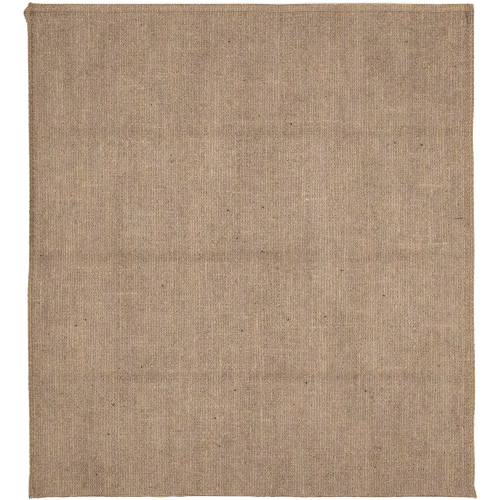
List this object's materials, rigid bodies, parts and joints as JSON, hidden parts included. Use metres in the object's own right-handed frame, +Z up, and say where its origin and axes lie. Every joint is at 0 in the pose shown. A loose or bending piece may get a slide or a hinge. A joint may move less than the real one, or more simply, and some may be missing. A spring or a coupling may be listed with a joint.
{
  "type": "jute sack",
  "caption": "Empty hessian sack lying flat, folded at the bottom and sewn up both sides, with a narrow hem round its open mouth.",
  "frame": {"origin": "centre of the sack's flat underside, on the surface it lies on", "axes": "+X across the sack, +Y from the bottom fold to the open mouth, +Z up from the surface it lies on"},
  "size_m": [0.46, 0.5019, 0.0111],
  "materials": {
    "hessian": "coarse matt weave"
  },
  "bodies": {
    "root": {"sack_cloth": "hessian"}
  },
  "joints": []
}
